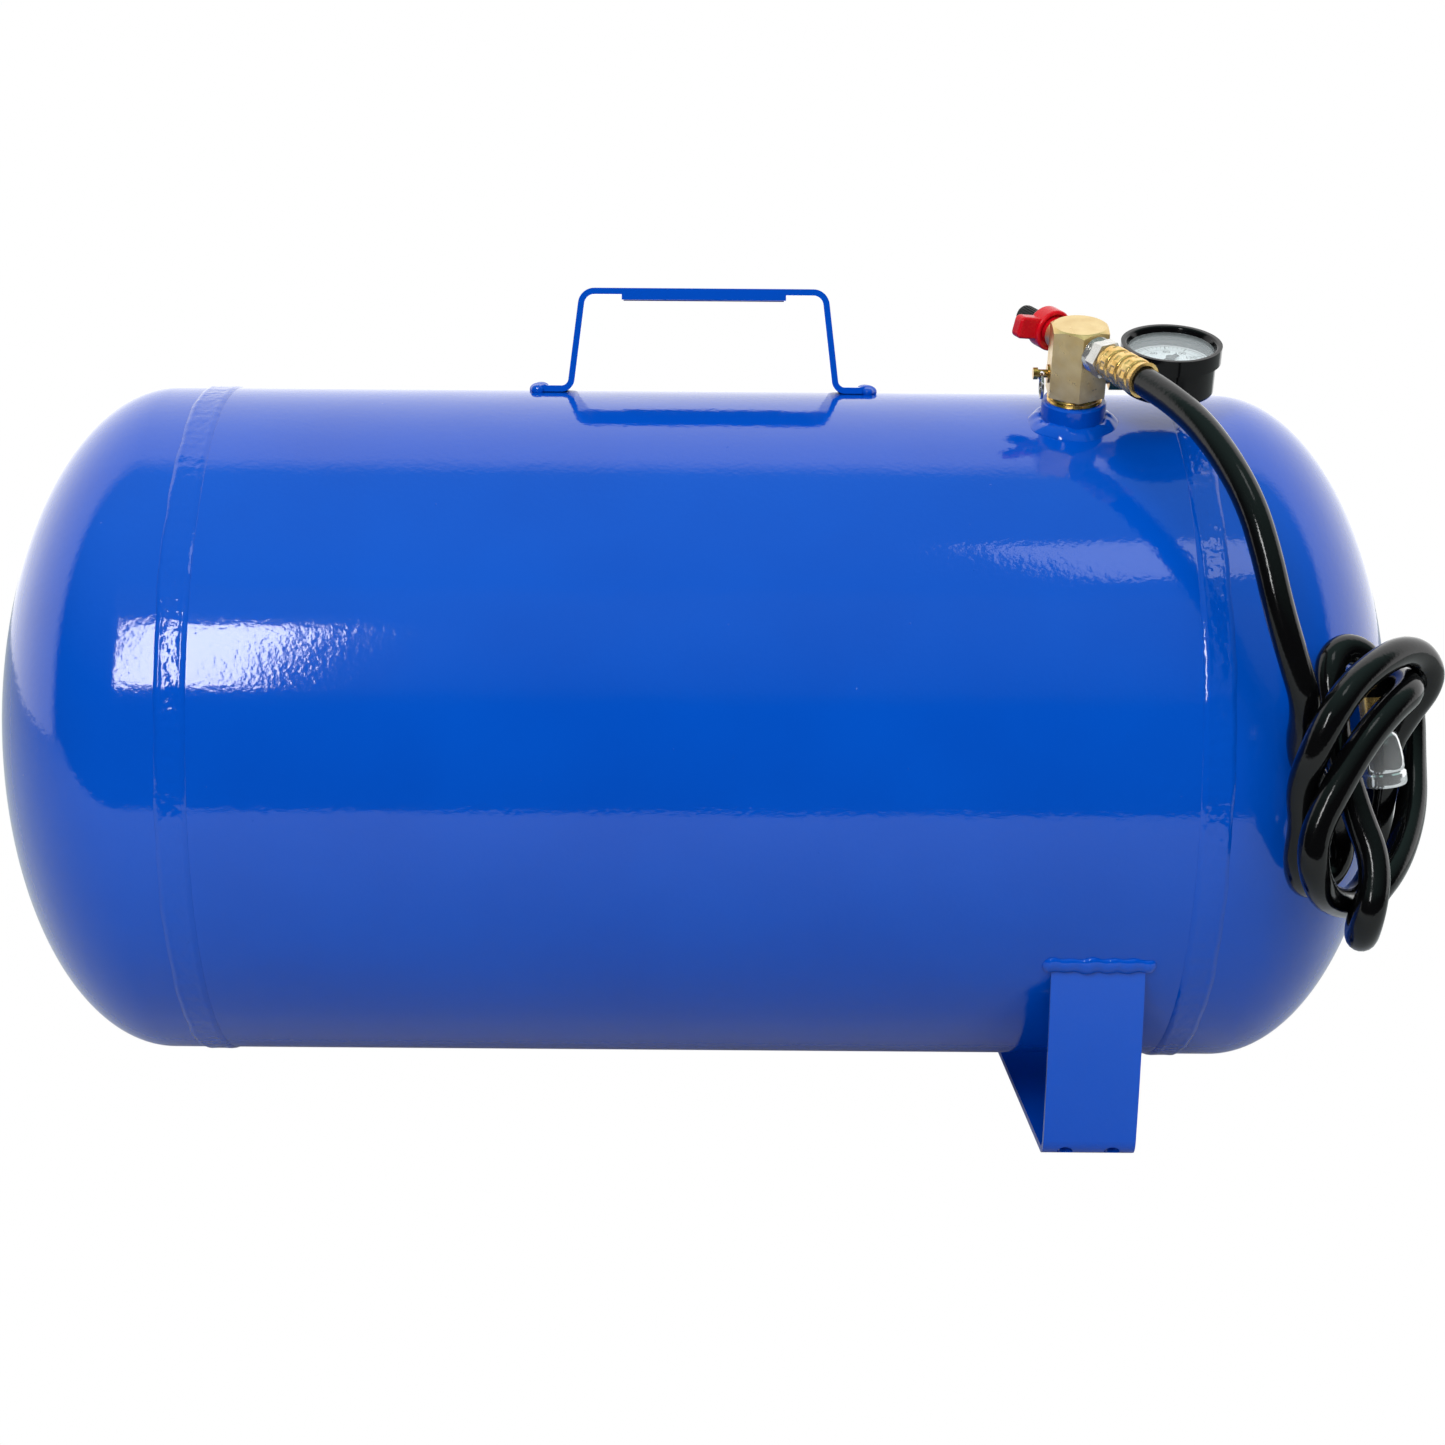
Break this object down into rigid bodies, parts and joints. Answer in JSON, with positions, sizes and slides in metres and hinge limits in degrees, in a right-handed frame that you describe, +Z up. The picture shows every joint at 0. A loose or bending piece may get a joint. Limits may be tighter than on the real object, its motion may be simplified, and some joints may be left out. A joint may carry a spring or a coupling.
{
  "type": "air receiver tank",
  "caption": "Horizontal portable compressed-air tank with lifting handle, strap foot, brass valve manifold, pressure gauge and a knotted tyre-filling hose.",
  "frame": {"origin": "on the floor under the middle of the tank, midway between its two heads", "axes": "+X along the tank to the valve end, +Y to the back, +Z up"},
  "size_m": [0.6323, 0.361, 0.3725],
  "materials": {
    "tank_paint": "gloss royal blue baked paint",
    "weld_paint": "the same paint over rough weld metal",
    "brass_bar": "sawn and milled brass bar, satin",
    "brass_turned": "turned brass",
    "brass_ferrule": "pressed brass, bright",
    "seal_rubber": "moulded seal rubber",
    "spring_steel": "bright wire",
    "cap_plastic": "ribbed moulded plastic",
    "red_plastic": "moulded red plastic",
    "black_enamel": "gloss black enamel on pressed steel",
    "clear_lens": "clear moulded lens",
    "dial_white": "white printed dial",
    "needle_black": "matt black pointer",
    "bourdon_bronze": "drawn phosphor bronze",
    "nickel": "nickel plated steel",
    "hose_rubber": "gloss black rubber hose",
    "chrome": "bright chrome plate"
  },
  "bodies": {
    "root": {"tank_shell": "tank_paint", "left_head": "tank_paint", "right_head": "tank_paint", "left_weld_bead": "weld_paint", "right_weld_bead": "weld_paint", "shell_seam": "weld_paint", "boss": "tank_paint", "boss_weld": "weld_paint", "handle_strap": "tank_paint", "handle_welds": "weld_paint", "foot_strap": "tank_paint", "foot_welds": "weld_paint", "manifold_block": "brass_bar", "valve_bonnet": "brass_bar", "bonnet_seal": "seal_rubber", "relief_body": "brass_turned", "relief_spring": "spring_steel", "gauge_stem": "brass_turned", "gauge_case": "black_enamel", "gauge_bezel": "black_enamel", "lens_gasket": "seal_rubber", "gauge_lens": "clear_lens", "gauge_dial": "dial_white", "movement_frame": "brass_turned", "bourdon_tube": "bourdon_bronze", "dial_screws": "spring_steel", "hose_nipple": "nickel", "hose_ferrule": "brass_ferrule", "hose_run": "hose_rubber", "hose_coil": "hose_rubber", "chuck_ferrule": "brass_ferrule", "chuck_body": "chrome", "chuck_seal": "seal_rubber", "chuck_spring": "spring_steel"},
    "valve_spindle": {"valve_spindle": "brass_bar", "knob_clip": "spring_steel", "fill_stem": "brass_turned", "fill_core": "brass_turned"},
    "valve_knob": {"valve_knob": "red_plastic"},
    "dust_cap": {"dust_cap": "cap_plastic"},
    "core_pin": {"core_pin": "brass_turned"},
    "relief_stem": {"relief_stem": "brass_turned"},
    "pull_ring": {"pull_ring": "spring_steel"},
    "needle": {"gauge_needle": "needle_black", "pinion": "brass_turned"},
    "sector": {"sector_gear": "brass_turned"},
    "chuck_pin": {"chuck_pin": "brass_turned"}
  },
  "joints": [
    {"name": "valve_lift", "type": "slide", "parent": "root", "child": "valve_spindle", "axis": [-0.5, 0.803, 0.3244], "range_m": [0, 0.0025]},
    {"name": "valve_turn", "type": "hinge", "parent": "valve_spindle", "child": "valve_knob", "pos_m": [0.1538, -0.05339, 0.35562], "axis": [-0.5, 0.803, 0.3244], "range_deg": [0, 722]},
    {"name": "cap_pull", "type": "slide", "parent": "valve_spindle", "child": "dust_cap", "axis": [-0.5, 0.803, 0.3244], "range_m": [0, 0.016]},
    {"name": "core_press", "type": "slide", "parent": "valve_spindle", "child": "core_pin", "axis": [0.5, -0.803, -0.3244], "range_m": [0, 0.0012], "stiffness_N_per_m": 300, "springref_m": -0.001},
    {"name": "relief_pull", "type": "slide", "parent": "root", "child": "relief_stem", "axis": [-1, 0, 0], "range_m": [0, 0.0025], "stiffness_N_per_m": 900, "springref_m": -0.003, "deforming": ["relief_spring"]},
    {"name": "ring_swing", "type": "hinge", "parent": "relief_stem", "child": "pull_ring", "pos_m": [0.1495, -0.06552, 0.33616], "axis": [0, 1, 0], "range_deg": [-8, 75]},
    {"name": "needle_sweep", "type": "hinge", "parent": "root", "child": "needle", "pos_m": [0.2045, -0.06818, 0.34275], "axis": [0, 0.3746, -0.9272], "range_deg": [0, 270]},
    {"name": "sector_sweep", "type": "hinge", "parent": "root", "child": "sector", "pos_m": [0.2158, -0.06593, 0.33718], "axis": [0, 0.3746, -0.9272], "range_deg": [-46, 0.5]},
    {"name": "chuck_press", "type": "slide", "parent": "root", "child": "chuck_pin", "axis": [-0.1501, -0.05, 0.9874], "range_m": [0, 0.002], "stiffness_N_per_m": 400, "springref_m": -0.001, "deforming": ["chuck_spring"]}
  ],
  "couplings": [
    {"joint": "valve_turn", "follows": "valve_lift", "rad_per_m": 5026.5},
    {"joint": "sector_sweep", "follows": "needle_sweep", "ratio": -0.16667}
  ]
}
